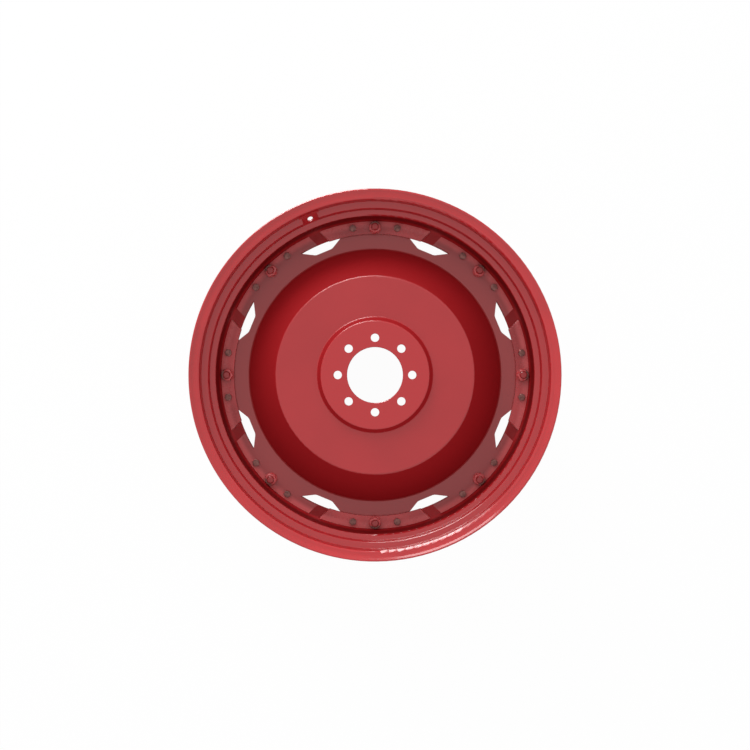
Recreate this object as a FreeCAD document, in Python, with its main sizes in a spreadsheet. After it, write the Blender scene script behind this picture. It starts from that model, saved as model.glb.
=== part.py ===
import FreeCAD
import Part
import Sketcher
import os

# A tractor wheel: a rolled rim and a dished disc bolted to eight lugs in its well.
# Frame: millimetres, origin on the wheel's axis at the hub's mounting face,
# +Z out of the front of the wheel, +Y up in the front view.

LUGS = 8
PLATES = LUGS // 2
STUDS = 8
LUG_STEP = 360.0 / LUGS
PLATE_STEP = 360.0 / PLATES

doc = FreeCAD.newDocument("tractor_wheel")
sheet = doc.addObject("Spreadsheet::Sheet", "Sizes")

# Driving sizes: alias, value, meaning
DRIVING = (
    # rim
    ("flange_radius", 508.0, "outer radius of both rim flanges"),
    ("rim_width", 444.0, "overall width of the rim"),
    ("rim_offset", 209.0, "hub mounting face to the rim's centre plane"),
    ("rim_sheet", 6.0, "thickness of the rolled rim"),
    ("flange_height", 28.4, "flange tip down to the bead seat"),
    ("curl_height", 14.1, "flange tip down to the bend of its outward curl"),
    ("curl_angle", 38.0, "outward curl of the flange, degrees"),
    ("curl_round", 17.0, "bend of the flange's curl, axle side"),
    ("heel_round", 7.5, "bend between flange and bead seat, axle side"),
    ("bead_width", 31.8, "flange tip to the end of the bead seat"),
    ("bead_taper", 0.6, "fall of the bead seat"),
    ("first_drop", 19.2, "drop from the bead seat to the ledge"),
    ("ledge_width", 13.8, "width of the ledge"),
    ("ledge_taper", 0.4, "fall of the ledge"),
    ("second_drop", 17.1, "drop from the ledge to the well"),
    ("drop_angle", 66.0, "slope of both drops from the wheel's axis, degrees"),
    ("bend_inner", 3.0, "hollow side of the bends of the rolled section"),
    ("bend_outer", 8.0, "round side of the bends of the rolled section"),
    # valve pocket
    ("valve_angle", 22.5, "valve pocket, degrees left of the top"),
    ("valve_pocket_arc", 5.6, "width of the valve pocket, degrees"),
    ("valve_hole", 15.7, "diameter of the valve hole"),
    ("valve_share", 0.62, "place of the valve hole from the pocket's top to its foot, as a share"),
    # disc
    ("disc_sheet", 12.0, "thickness of the pressed disc"),
    ("hub_bore", 152.4, "diameter of the hub bore"),
    ("stud_land", 25.4, "bore edge to the stud circle"),
    ("stud_hole", 23.0, "diameter of the stud holes"),
    ("hub_margin", 45.4, "stud circle to the edge of the hub pad"),
    ("hub_step", 17.0, "height of the hub pad above the face"),
    ("hub_step_run", 13.0, "radial run of the hub pad's wall"),
    ("face_width", 111.5, "radial width of the flat face"),
    ("dish_depth", 130.0, "face down to the bolting ring"),
    ("hub_edge_round", 2.5, "round on the hub pad's edge and foot"),
    ("face_edge_round", 6.0, "round on the edge of the face"),
    ("ring_foot_round", 5.0, "round at the foot of the dish"),
    ("edge_break", 1.0, "round on the edges of the hub bore"),
    ("disc_gap", 1.0, "disc edge to the rim's well"),
    # windows and slots
    ("window_height", 26.6, "radial height of a window"),
    ("window_width", 127.8, "width of a window at its outer edge"),
    ("window_floor", 50.2, "width of a window at its inner edge"),
    ("window_round", 19.7, "round of a window's inner corners"),
    ("window_land", 20.4, "foot of the dish to the windows"),
    ("window_edge", 13.4, "bolt circle to the windows"),
    ("tab_half", 146.4, "half width of the tabs between the slots"),
    ("slot_width", 32.3, "width of the slots"),
    ("plate_round", 2.5, "round on the front edges of the plates' ends"),
    # lugs
    ("plate_thick", 8.0, "thickness of the clamp plates"),
    ("lug_thick", 12.0, "thickness of the rim lugs"),
    ("lug_edge", 20.0, "bolt circle to the inner edge of the lugs"),
    ("lug_half_inner", 77.8, "half width of a lug at its inner edge"),
    ("lug_half_outer", 84.7, "half width of a lug at the well"),
    ("lug_gap", 0.3, "lug edge to the well"),
    ("rib_thick", 10.0, "thickness of the lug ribs"),
    ("rib_spread", 35.0, "lug axis to the middle of a rib"),
    ("rib_length", 60.0, "length of a rib along the well"),
    # large bolts
    ("centre_bolt", 20.0, "diameter of the large bolts"),
    ("centre_flats", 30.0, "across flats, large nuts and heads"),
    ("centre_head", 12.5, "height of the large heads"),
    ("centre_nut", 16.0, "height of the large nuts"),
    ("centre_washer", 36.0, "diameter of the large washers"),
    ("centre_washer_thick", 3.0, "thickness of the large washers"),
    ("washer_gap", 1.1, "large washer to the well"),
    ("centre_end", 5.0, "bolt end past the nut"),
    ("centre_chamfer", 3.0, "chamfer of the bolt end"),
    ("centre_play", 1.0, "radial play of the large bolts in their holes"),
    # small bolts
    ("side_bolt", 12.0, "diameter of the small bolts"),
    ("side_flats", 18.0, "across flats, small nuts and heads"),
    ("side_head", 7.5, "height of the small heads"),
    ("side_nut", 10.0, "height of the small nuts"),
    ("side_washer", 24.0, "diameter of the small washers"),
    ("side_washer_thick", 2.5, "thickness of the small washers"),
    ("side_end", 4.0, "bolt end past the small nut"),
    ("side_spread", 8.6, "lug axis to a small bolt, degrees"),
    ("side_out", 2.2, "circle of the small bolts outside that of the large ones"),
    ("side_play", 0.75, "radial play of the small bolts in their holes"),
    ("thread_play", 0.1, "radial play of bolts in nuts and washers"),
)

# Sizes that follow from the driving ones
DERIVED = (
    # levels along the axis
    ("front_z", "rim_width / 2 - rim_offset"),
    ("rear_z", "-rim_width / 2 - rim_offset"),
    ("hub_z", "disc_sheet"),
    ("face_z", "hub_z - hub_step"),
    ("ring_z", "face_z - dish_depth"),
    ("ring_back_z", "ring_z - disc_sheet"),
    ("plate_z", "ring_z + plate_thick"),
    ("lug_back_z", "ring_back_z - lug_thick"),
    # rim section, axle side, from the flange to the well
    ("curl_r", "flange_radius - curl_height"),
    ("tip_r", "flange_radius - rim_sheet / 2 * (1 + sin(curl_angle * 1 deg) - cos(curl_angle * 1 deg))"),
    ("tip_d", "-rim_sheet / 2 * (cos(curl_angle * 1 deg) + sin(curl_angle * 1 deg) - 1)"),
    ("flange_d", "tip_d + (tip_r - curl_r) * tan(curl_angle * 1 deg)"),
    ("lip_round", "0.48 * rim_sheet"),
    ("bead_r", "flange_radius - flange_height"),
    ("bead_end_r", "bead_r - bead_taper"),
    ("ledge_r", "bead_end_r - first_drop"),
    ("ledge_end_r", "ledge_r - ledge_taper"),
    ("well_r", "ledge_end_r - second_drop"),
    ("drop_one_run", "first_drop / tan(drop_angle * 1 deg)"),
    ("drop_two_run", "second_drop / tan(drop_angle * 1 deg)"),
    ("ledge_d", "bead_width + drop_one_run"),
    ("ledge_end_d", "ledge_d + ledge_width"),
    ("well_d", "ledge_end_d + drop_two_run"),
    ("bend_shift", "rim_sheet * tan(drop_angle * 0.5 deg)"),
    # valve pocket: the chord from just before the bead seat's end to just before the ledge's end
    ("valve_top_r", "bead_end_r + bead_taper * bend_inner / (bead_width - flange_d)"),
    ("valve_top_d", "bead_width - bend_inner"),
    ("valve_foot_r", "ledge_end_r + ledge_taper * bend_inner / ledge_width"),
    ("valve_foot_d", "ledge_end_d - bend_inner"),
    ("chord_len", "sqrt((valve_top_r - valve_foot_r)^2 + (valve_foot_d - valve_top_d)^2)"),
    ("chord_nr", "(valve_foot_d - valve_top_d) / chord_len"),
    ("chord_nd", "(valve_top_r - valve_foot_r) / chord_len"),
    # disc section
    ("bore_r", "hub_bore / 2"),
    ("stud_r", "bore_r + stud_land"),
    ("hub_r", "stud_r + hub_margin"),
    ("step_r", "hub_r + hub_step_run"),
    ("face_r", "step_r + face_width"),
    ("disc_r", "well_r - disc_gap"),
    ("bolt_r", "well_r - washer_gap - centre_washer / 2"),
    ("window_r", "bolt_r - window_edge"),
    ("window_in_r", "window_r - window_height"),
    ("ring_r", "window_in_r - window_land"),
    ("step_shift", "disc_sheet * tan(atan(hub_step / hub_step_run) / 2)"),
    ("cone_shift", "disc_sheet * tan(atan(dish_depth / (ring_r - face_r)) / 2)"),
    ("window_half", "window_width / 2"),
    ("window_rise", "sqrt(window_r^2 - window_half^2)"),
    ("floor_half", "window_floor / 2"),
    ("flank", "atan((window_rise - window_in_r) / (window_half - floor_half))"),
    ("corner_len", "window_round * tan(flank / 2)"),
    ("slot_far", "tab_half + slot_width"),
    ("slot_start", "sqrt(window_r^2 - slot_far^2) - window_height / 6"),
    ("plate_r", "bolt_r - centre_washer / 2"),
    ("plate_in", "sqrt(plate_r^2 - slot_far^2)"),
    ("plate_out", "sqrt(disc_r^2 - slot_far^2)"),
    ("lug_in_r", "bolt_r - lug_edge"),
    ("lug_out_r", "well_r - lug_gap"),
    ("lug_out_y", "sqrt(lug_out_r^2 - lug_half_outer^2)"),
    ("rib_out_y", "sqrt(lug_out_r^2 - (rib_spread + rib_thick / 2)^2)"),
    # fasteners
    ("centre_hole_r", "centre_bolt / 2 + centre_play"),
    ("side_hole_r", "side_bolt / 2 + side_play"),
    ("centre_corner", "centre_flats / 2 / cos(30 deg)"),
    ("side_corner", "side_flats / 2 / cos(30 deg)"),
    ("side_x", "(bolt_r + side_out) * sin(side_spread * 1 deg)"),
    ("side_y", "(bolt_r + side_out) * cos(side_spread * 1 deg)"),
)


def fill_sheet():
    """Write the driving sizes, then the sizes worked out from them."""
    row = 1
    for alias, value, meaning in DRIVING:
        sheet.set("A%d" % row, meaning)
        sheet.set("B%d" % row, str(value))
        sheet.setAlias("B%d" % row, alias)
        row += 1
    for alias, formula in DERIVED:
        sheet.set("A%d" % row, "worked out: " + alias)
        sheet.set("B%d" % row, "=" + formula)
        sheet.setAlias("B%d" % row, alias)
        row += 1
    doc.recompute()


ALIASES = sorted([line[0] for line in DRIVING] + [line[0] for line in DERIVED], key=len, reverse=True)


def linked(formula):
    """Turn a formula in sheet words into one that other objects can read."""
    out = []
    word = ""
    for letter in formula + " ":
        if letter.isalnum() or letter == "_":
            word += letter
            continue
        out.append("Sizes." + word if word in ALIASES else word)
        out.append(letter)
        word = ""
    return "".join(out).strip()


def value(formula):
    """Present value of a formula in sheet words."""
    return float(sheet.evalExpression(linked(formula)))


def new_body(label):
    body = doc.addObject("PartDesign::Body", label)
    body.Label = label
    return body


def plane(body, role):
    return [item for item in body.Origin.OriginFeatures if item.Role == role][0]


def axis_of(body):
    return [item for item in body.Origin.OriginFeatures if item.Role == "Z_Axis"][0]


def place(feature, body, role, level="0", turn=0.0):
    """Attach to an origin plane, raised to a level and turned clockwise in the front view."""
    feature.AttachmentSupport = [(plane(body, role), "")]
    feature.MapMode = "FlatFace"
    turned = FreeCAD.Rotation(FreeCAD.Vector(0, 0, 1), -turn)
    feature.AttachmentOffset = FreeCAD.Placement(FreeCAD.Vector(0, 0, 0), turned)
    if level != "0":
        feature.setExpression("AttachmentOffset.Base.z", linked(level))
    return feature


def new_sketch(body, name, role, level="0", turn=0.0):
    return place(body.newObject("Sketcher::SketchObject", name), body, role, level, turn)


def bind(sketch, kind, targets, name, formula):
    """Add a dimension to a sketch and tie it to a formula."""
    index = sketch.addConstraint(Sketcher.Constraint(kind, *targets, value(formula)))
    sketch.renameConstraint(index, name)
    sketch.setExpression("Constraints." + name, linked(formula))


def pin(sketch, geo, end, name, x_formula, y_formula):
    bind(sketch, "DistanceX", (-1, 1, geo, end), name + "_x", x_formula)
    bind(sketch, "DistanceY", (-1, 1, geo, end), name + "_y", y_formula)


def arc_between(start, end, radius, turn):
    """Minor arc from start to end, counterclockwise for a turn of 1 and clockwise for -1."""
    half = (end - start) * 0.5
    left = FreeCAD.Vector(-half.y, half.x, 0).normalize()
    centre = start + half + left * (turn * (radius ** 2 - half.Length ** 2) ** 0.5)
    circle = Part.Circle(centre, FreeCAD.Vector(0, 0, 1), radius)
    low, high = (start, end) if turn > 0 else (end, start)
    return Part.ArcOfCircle(circle, circle.parameter(low), circle.parameter(high))


def outline(sketch, corners):
    """Closed outline through named corners: (name, x, y), or (name, x, y, radius, turn) before an arc."""
    points = [FreeCAD.Vector(value(corner[1]), value(corner[2]), 0) for corner in corners]
    first = sketch.GeometryCount
    count = len(points)
    ends = []
    for i, corner in enumerate(corners):
        start = points[i]
        end = points[(i + 1) % count]
        if len(corner) == 3:
            sketch.addGeometry(Part.LineSegment(start, end))
            ends.append((1, 2))
        else:
            sketch.addGeometry(arc_between(start, end, value(corner[3]), corner[4]))
            ends.append((1, 2) if corner[4] > 0 else (2, 1))
    for i in range(count):
        after = (i + 1) % count
        joined = Sketcher.Constraint("Coincident", first + i, ends[i][1], first + after, ends[after][0])
        sketch.addConstraint(joined)
    for i, corner in enumerate(corners):
        pin(sketch, first + i, ends[i][0], corner[0], corner[1], corner[2])
        if len(corner) > 3:
            bind(sketch, "Radius", (first + i,), corner[0] + "_round", corner[3])


def rounded_outline(sketch, corners):
    """Closed outline through named corners (name, x, y, radius), each rounded by a tangent arc.

    A corner with no radius stays sharp.
    """
    points = [FreeCAD.Vector(value(corner[1]), value(corner[2]), 0) for corner in corners]
    count = len(points)
    starts = []
    stops = []
    for i, corner in enumerate(corners):
        to_last = (points[i - 1] - points[i]).normalize()
        to_next = (points[(i + 1) % count] - points[i]).normalize()
        cosine = to_last.dot(to_next)
        radius = value(corner[3]) if len(corner) > 3 else 0
        length = radius * ((1 + cosine) / (1 - cosine)) ** 0.5
        starts.append(points[i] + to_last * length)
        stops.append(points[i] + to_next * length)
    for i in range(count):
        sketch.addGeometry(Part.LineSegment(stops[i], starts[(i + 1) % count]))
    for i, corner in enumerate(corners):
        name, x, y = corner[:3]
        line_in = (i - 1) % count
        if len(corner) == 3:
            sketch.addConstraint(Sketcher.Constraint("Coincident", line_in, 2, i, 1))
            pin(sketch, i, 1, name, x, y)
            continue
        radius = corner[3]
        side = (points[i] - points[i - 1]).cross(points[(i + 1) % count] - points[i]).z
        turn = 1 if side > 0 else -1
        arc = sketch.addGeometry(arc_between(starts[i], stops[i], value(radius), turn))
        first, last = (1, 2) if turn > 0 else (2, 1)
        sketch.addConstraint(Sketcher.Constraint("Tangent", line_in, 2, arc, first))
        sketch.addConstraint(Sketcher.Constraint("Tangent", arc, last, i, 1))
        bind(sketch, "Radius", (arc,), name + "_round", radius)
        corner_point = sketch.addGeometry(Part.Point(points[i]), True)
        sketch.addConstraint(Sketcher.Constraint("PointOnObject", corner_point, 1, line_in))
        sketch.addConstraint(Sketcher.Constraint("PointOnObject", corner_point, 1, i))
        pin(sketch, corner_point, 1, name, x, y)


def hexagon(sketch, name, x, y, corner):
    """Hexagon with one corner pointing up."""
    ways = (("up", 0, 2), ("up_left", -1, 1), ("down_left", -1, -1),
            ("down", 0, -2), ("down_right", 1, -1), ("up_right", 1, 1))
    outline(sketch, [
        ("%s_%s" % (name, way), "%s + %d * %s * cos(30 deg)" % (x, across, corner),
         "%s + %d * %s / 2" % (y, along, corner))
        for way, across, along in ways
    ])


def ring(sketch, name, x, y, radius):
    """Circle at a named place."""
    centre = FreeCAD.Vector(value(x), value(y), 0)
    geo = sketch.addGeometry(Part.Circle(centre, FreeCAD.Vector(0, 0, 1), value(radius)))
    pin(sketch, geo, 3, name, x, y)
    bind(sketch, "Radius", (geo,), name + "_r", radius)


def revolve(body, name, sketch):
    feature = body.newObject("PartDesign::Revolution", name)
    feature.Profile = sketch
    feature.ReferenceAxis = (sketch, ["V_Axis"])
    feature.Angle = 360.0
    doc.recompute()
    return feature


def pad(body, name, sketch, length):
    feature = body.newObject("PartDesign::Pad", name)
    feature.Profile = sketch
    feature.setExpression("Length", linked(length))
    doc.recompute()
    return feature


def cut_through(body, name, sketch):
    """Pocket through everything, both ways."""
    before = body.Shape.Volume
    feature = body.newObject("PartDesign::Pocket", name)
    feature.Profile = sketch
    feature.Type = "ThroughAll"
    feature.Midplane = True
    doc.recompute()
    if body.Shape.Volume >= before:
        raise RuntimeError(name + " removes nothing")
    return feature


def pattern(body, name, originals, count):
    feature = body.newObject("PartDesign::PolarPattern", name)
    feature.Originals = originals
    feature.Axis = (axis_of(body), [""])
    feature.Angle = 360.0
    feature.Occurrences = count
    body.Tip = feature
    doc.recompute()
    return feature


# Rim section on the axle side and on the tyre side: radius, depth behind the flange tip, round
AXLE_SIDE = (
    ("tip", "tip_r", "tip_d", "lip_round"),
    ("curl", "curl_r", "flange_d", "curl_round"),
    ("bead", "bead_r", "flange_d", "heel_round"),
    ("bead_end", "bead_end_r", "bead_width", "bend_inner"),
    ("ledge", "ledge_r", "ledge_d", "bend_outer"),
    ("ledge_end", "ledge_end_r", "ledge_end_d", "bend_inner"),
    ("well", "well_r", "well_d", "bend_outer"),
)
TYRE_SIDE = (
    ("lip", "tip_r + rim_sheet * sin(curl_angle * 1 deg)", "tip_d + rim_sheet * cos(curl_angle * 1 deg)",
     "lip_round"),
    ("curl_back", "curl_r + rim_sheet * tan(curl_angle * 0.5 deg)", "flange_d + rim_sheet",
     "curl_round - rim_sheet"),
    ("flange_root", "bead_r + rim_sheet", "flange_d + rim_sheet", "bend_inner"),
    ("bead_top_end", "bead_end_r + rim_sheet", "bead_width + bend_shift", "bend_outer"),
    ("ledge_top", "ledge_r + rim_sheet", "ledge_d + bend_shift", "bend_inner"),
    ("ledge_top_end", "ledge_end_r + rim_sheet", "ledge_end_d + bend_shift", "bend_outer"),
    ("well_top", "well_r + rim_sheet", "well_d + bend_shift", "bend_inner"),
)


def front_level(depth):
    return "front_z - (%s)" % depth


def rear_level(depth):
    return "rear_z + (%s)" % depth


def rim_section():
    """Closed section: axle side front to rear, then tyre side rear to front."""
    corners = [("front_" + n, r, front_level(d), bend) for n, r, d, bend in AXLE_SIDE]
    corners += [("rear_" + n, r, rear_level(d), bend) for n, r, d, bend in reversed(AXLE_SIDE)]
    corners += [("rear_" + n, r, rear_level(d), bend) for n, r, d, bend in TYRE_SIDE]
    corners += [("front_" + n, r, front_level(d), bend) for n, r, d, bend in reversed(TYRE_SIDE)]
    return corners


def valve_sketch(body, name):
    """Sketch in the radial plane through the valve pocket."""
    sketch = body.newObject("Sketcher::SketchObject", name)
    sketch.AttachmentSupport = [(plane(body, "YZ_Plane"), "")]
    sketch.MapMode = "FlatFace"
    sketch.AttachmentOffset = FreeCAD.Placement(
        FreeCAD.Vector(0, 0, 0), FreeCAD.Rotation(FreeCAD.Vector(0, 1, 0), value("valve_angle"))
    )
    sketch.setExpression("AttachmentOffset.Rotation.Angle", linked("valve_angle"))
    return sketch


def make_rim():
    body = new_body("rim")
    section = new_sketch(body, "rim_section", "XZ_Plane")
    rounded_outline(section, rim_section())
    revolve(body, "rim_rolled", section)

    # Valve pocket: the ledge's corner pressed flat between bead seat and ledge end
    pressed = valve_sketch(body, "valve_pressing")
    outline(pressed, (
        ("top", "valve_top_r", front_level("valve_top_d")),
        ("foot", "valve_foot_r", front_level("valve_foot_d")),
        ("foot_out", "valve_foot_r + rim_sheet * chord_nr", front_level("valve_foot_d + rim_sheet * chord_nd")),
        ("top_out", "valve_top_r + rim_sheet * chord_nr", front_level("valve_top_d + rim_sheet * chord_nd")),
    ))
    bulge = body.newObject("PartDesign::Revolution", "valve_bulge")
    bulge.Profile = pressed
    bulge.ReferenceAxis = (pressed, ["V_Axis"])
    bulge.Midplane = True
    bulge.setExpression("Angle", linked("valve_pocket_arc + 2 * rim_sheet / bead_r * 180 / pi"))
    doc.recompute()

    hollow = valve_sketch(body, "valve_hollow")
    outline(hollow, (
        ("top", "valve_top_r", front_level("valve_top_d")),
        ("corner", "valve_foot_r - rim_sheet", front_level("valve_top_d - rim_sheet")),
        ("foot", "valve_foot_r", front_level("valve_foot_d")),
    ))
    solid_volume = body.Shape.Volume
    pocket = body.newObject("PartDesign::Groove", "valve_pocket")
    pocket.Profile = hollow
    pocket.ReferenceAxis = (hollow, ["V_Axis"])
    pocket.Midplane = True
    pocket.setExpression("Angle", linked("valve_pocket_arc"))
    doc.recompute()
    if body.Shape.Volume >= solid_volume:
        raise RuntimeError("the valve pocket removes nothing")

    # Valve hole square to the pressed flat
    drill = valve_sketch(body, "valve_drill")
    mid_r = "valve_top_r + (valve_foot_r - valve_top_r) * valve_share"
    mid_d = "valve_top_d + (valve_foot_d - valve_top_d) * valve_share"
    reach = "2 * rim_sheet"
    radius = "valve_hole / 2"
    outline(drill, (
        ("in", "%s - %s * chord_nr" % (mid_r, reach), front_level("%s - %s * chord_nd" % (mid_d, reach))),
        ("out", "%s + %s * chord_nr" % (mid_r, reach), front_level("%s + %s * chord_nd" % (mid_d, reach))),
        ("out_side", "%s + %s * chord_nr + %s * chord_nd" % (mid_r, reach, radius),
         front_level("%s + %s * chord_nd - %s * chord_nr" % (mid_d, reach, radius))),
        ("in_side", "%s - %s * chord_nr + %s * chord_nd" % (mid_r, reach, radius),
         front_level("%s - %s * chord_nd - %s * chord_nr" % (mid_d, reach, radius))),
    ))
    solid_volume = body.Shape.Volume
    hole = body.newObject("PartDesign::Groove", "valve_hole")
    hole.Profile = drill
    hole.ReferenceAxis = (drill, ["Edge1"])
    hole.Angle = 360.0
    doc.recompute()
    if body.Shape.Volume >= solid_volume:
        raise RuntimeError("the valve hole removes nothing")
    return body


def make_disc():
    body = new_body("disc")
    section = new_sketch(body, "disc_section", "XZ_Plane")
    rounded_outline(section, (
        ("bore_front", "bore_r", "hub_z", "edge_break"),
        ("hub_edge", "hub_r", "hub_z", "hub_edge_round"),
        ("step_foot", "step_r", "face_z", "hub_edge_round"),
        ("face_edge", "face_r", "face_z", "face_edge_round"),
        ("dish_foot", "ring_r", "ring_z", "ring_foot_round"),
        ("rim_front", "disc_r", "ring_z"),
        ("rim_back", "disc_r", "ring_back_z"),
        ("dish_foot_back", "ring_r - cone_shift", "ring_back_z", "ring_foot_round"),
        ("face_edge_back", "face_r - cone_shift", "face_z - disc_sheet", "face_edge_round"),
        ("step_foot_back", "step_r - step_shift", "face_z - disc_sheet", "hub_edge_round"),
        ("hub_edge_back", "hub_r - step_shift", "0", "hub_edge_round"),
        ("bore_back", "bore_r", "0", "edge_break"),
    ))
    revolve(body, "disc_pressed", section)

    stud = new_sketch(body, "stud_hole_place", "XY_Plane")
    ring(stud, "stud", "0", "stud_r", "stud_hole / 2")
    stud_cut = cut_through(body, "stud_hole", stud)
    pattern(body, "stud_holes", [stud_cut], STUDS)

    window = new_sketch(body, "window_outline", "XY_Plane", turn=LUG_STEP / 2)
    window_shape(window)
    window_cut = cut_through(body, "window", window)
    pattern(body, "windows", [window_cut], LUGS)

    # A slot on each side of a tab, parallel to the tab's own axis
    slot = new_sketch(body, "slot_outline", "XY_Plane", turn=LUG_STEP)
    for side, sign in (("left", "-1"), ("right", "1")):
        outline(slot, (
            (side + "_near_in", sign + " * tab_half", "slot_start"),
            (side + "_far_in", sign + " * slot_far", "slot_start"),
            (side + "_far_out", sign + " * slot_far", "flange_radius"),
            (side + "_near_out", sign + " * tab_half", "flange_radius"),
        ))
    slot_cut = cut_through(body, "slot", slot)
    pattern(body, "slots", [slot_cut], PLATES)

    drilled = new_sketch(body, "disc_bolt_places", "XY_Plane")
    lug_holes(drilled)
    holes = cut_through(body, "disc_bolt_hole", drilled)
    pattern(body, "disc_bolt_holes", [holes], LUGS)
    return body


def window_shape(sketch):
    """Flared window: an arc outside, straight flanks, rounded inner corners."""
    flank_x = "floor_half + corner_len * cos(flank)"
    flank_y = "window_in_r + corner_len * sin(flank)"
    floor_x = "floor_half - corner_len"
    outline(sketch, (
        ("outer_right", "window_half", "window_rise", "window_r", 1),
        ("outer_left", "-window_half", "window_rise"),
        ("flank_left", "-(%s)" % flank_x, flank_y, "window_round", 1),
        ("floor_left", "-(%s)" % floor_x, "window_in_r"),
        ("floor_right", floor_x, "window_in_r", "window_round", 1),
        ("flank_right", flank_x, flank_y),
    ))


def lug_holes(sketch):
    """The three bolt holes of one lug, on the bolt circle."""
    ring(sketch, "middle", "0", "bolt_r", "centre_hole_r")
    ring(sketch, "left", "-side_x", "side_y", "side_hole_r")
    ring(sketch, "right", "side_x", "side_y", "side_hole_r")


def turned(body, angle):
    """Turn a whole body clockwise in the front view."""
    body.Placement = FreeCAD.Placement(
        FreeCAD.Vector(0, 0, 0), FreeCAD.Rotation(FreeCAD.Vector(0, 0, 1), -angle)
    )
    doc.recompute()
    return body


def make_plate(label, angle):
    """Clamp plate over the bolting ring, its ends along the slots."""
    body = new_body(label)
    shape = new_sketch(body, label + "_outline", "XY_Plane", "ring_z")
    outline(shape, (
        ("in_left", "-(plate_in - slot_far) / sqrt(2)", "(plate_in + slot_far) / sqrt(2)", "plate_r", -1),
        ("in_right", "(plate_in - slot_far) / sqrt(2)", "(plate_in + slot_far) / sqrt(2)"),
        ("out_right", "(plate_out - slot_far) / sqrt(2)", "(plate_out + slot_far) / sqrt(2)", "disc_r", 1),
        ("out_left", "-(plate_out - slot_far) / sqrt(2)", "(plate_out + slot_far) / sqrt(2)"),
    ))
    blank = pad(body, label + "_blank", shape, "plate_thick")
    edges = []
    for i, edge in enumerate(blank.Shape.Edges):
        straight = edge.Curve.TypeId == "Part::GeomLine"
        if straight and abs(edge.BoundBox.ZMin - value("plate_z")) < 0.01:
            edges.append("Edge%d" % (i + 1))
    rounds = body.newObject("PartDesign::Fillet", label + "_rounds")
    rounds.Base = (blank, edges)
    rounds.setExpression("Radius", linked("plate_round"))
    doc.recompute()
    drilled = new_sketch(body, label + "_bolt_places", "XY_Plane")
    lug_holes(drilled)
    cut_through(body, label + "_bolt_holes", drilled)
    return turned(body, angle)


def make_lug(label, angle):
    """Bracket in the well behind the disc: a drilled plate and two ribs."""
    body = new_body(label)
    shape = new_sketch(body, label + "_outline", "XY_Plane", "lug_back_z")
    outline(shape, (
        ("in_left", "-lug_half_inner", "lug_in_r"),
        ("in_right", "lug_half_inner", "lug_in_r"),
        ("out_right", "lug_half_outer", "lug_out_y", "lug_out_r", 1),
        ("out_left", "-lug_half_outer", "lug_out_y"),
    ))
    pad(body, label + "_plate", shape, "lug_thick")
    for side, sign in (("left", "-1"), ("right", "1")):
        rib = new_sketch(body, "%s_%s_rib_outline" % (label, side), "YZ_Plane", sign + " * rib_spread")
        outline(rib, (
            ("plate_in", "lug_in_r + rib_thick / 2", "lug_back_z"),
            ("toe_in", "lug_in_r + rib_thick / 2", "lug_back_z - rib_thick"),
            ("toe_out", "rib_out_y - rib_thick", "lug_back_z - rib_length"),
            ("well_end", "rib_out_y", "lug_back_z - rib_length"),
            ("well_root", "rib_out_y", "lug_back_z"),
        ))
        web = pad(body, "%s_%s_rib" % (label, side), rib, "rib_thick")
        web.Midplane = True
        doc.recompute()
    drilled = new_sketch(body, label + "_bolt_places", "XY_Plane")
    lug_holes(drilled)
    cut_through(body, label + "_bolt_holes", drilled)
    return turned(body, angle)


def fastener_body(label):
    """Body that holds a set of separate, equal fasteners."""
    body = new_body(label)
    body.AllowCompound = True
    return body


def make_centre_bolts(label, seat, turn):
    """Large bolts: head behind the lug, chamfered end in front of the nut."""
    body = fastener_body(label)
    end = "%s + centre_washer_thick + centre_nut + centre_end" % seat
    shank = new_sketch(body, label + "_shank_section", "YZ_Plane")
    outline(shank, (
        ("axis_back", "bolt_r", "lug_back_z"),
        ("axis_front", "bolt_r", end),
        ("tip", "bolt_r + centre_bolt / 2 - centre_chamfer", end),
        ("shoulder", "bolt_r + centre_bolt / 2", end + " - centre_chamfer"),
        ("root", "bolt_r + centre_bolt / 2", "lug_back_z"),
    ))
    turned_shank = body.newObject("PartDesign::Revolution", label + "_shank")
    turned_shank.Profile = shank
    turned_shank.ReferenceAxis = (shank, ["Edge1"])
    turned_shank.Angle = 360.0
    doc.recompute()
    flats = new_sketch(body, label + "_head_outline", "XY_Plane", "lug_back_z - centre_head")
    hexagon(flats, "head", "0", "bolt_r", "centre_corner")
    head = pad(body, label + "_head", flats, "centre_head")
    pattern(body, label + "_round", [turned_shank, head], PLATES)
    return turned(body, turn)


def make_centre_nuts():
    body = fastener_body("centre_nuts")
    for place_name, seat, turn in (("plate", "plate_z", 0.0), ("tab", "ring_z", LUG_STEP)):
        flats = new_sketch(body, place_name + "_nut_outline", "XY_Plane", seat + " + centre_washer_thick", turn)
        hexagon(flats, "nut", "0", "bolt_r", "centre_corner")
        ring(flats, "thread", "0", "bolt_r", "centre_bolt / 2 + thread_play")
        nut = pad(body, place_name + "_nut", flats, "centre_nut")
        pattern(body, place_name + "_nuts", [nut], PLATES)
    return body


def make_centre_washers():
    body = fastener_body("centre_washers")
    for place_name, seat, turn in (("plate", "plate_z", 0.0), ("tab", "ring_z", LUG_STEP)):
        shape = new_sketch(body, place_name + "_washer_outline", "XY_Plane", seat, turn)
        ring(shape, "outside", "0", "bolt_r", "centre_washer / 2")
        ring(shape, "inside", "0", "bolt_r", "centre_hole_r")
        washer = pad(body, place_name + "_washer", shape, "centre_washer_thick")
        pattern(body, place_name + "_washers", [washer], PLATES)
    return body


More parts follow.
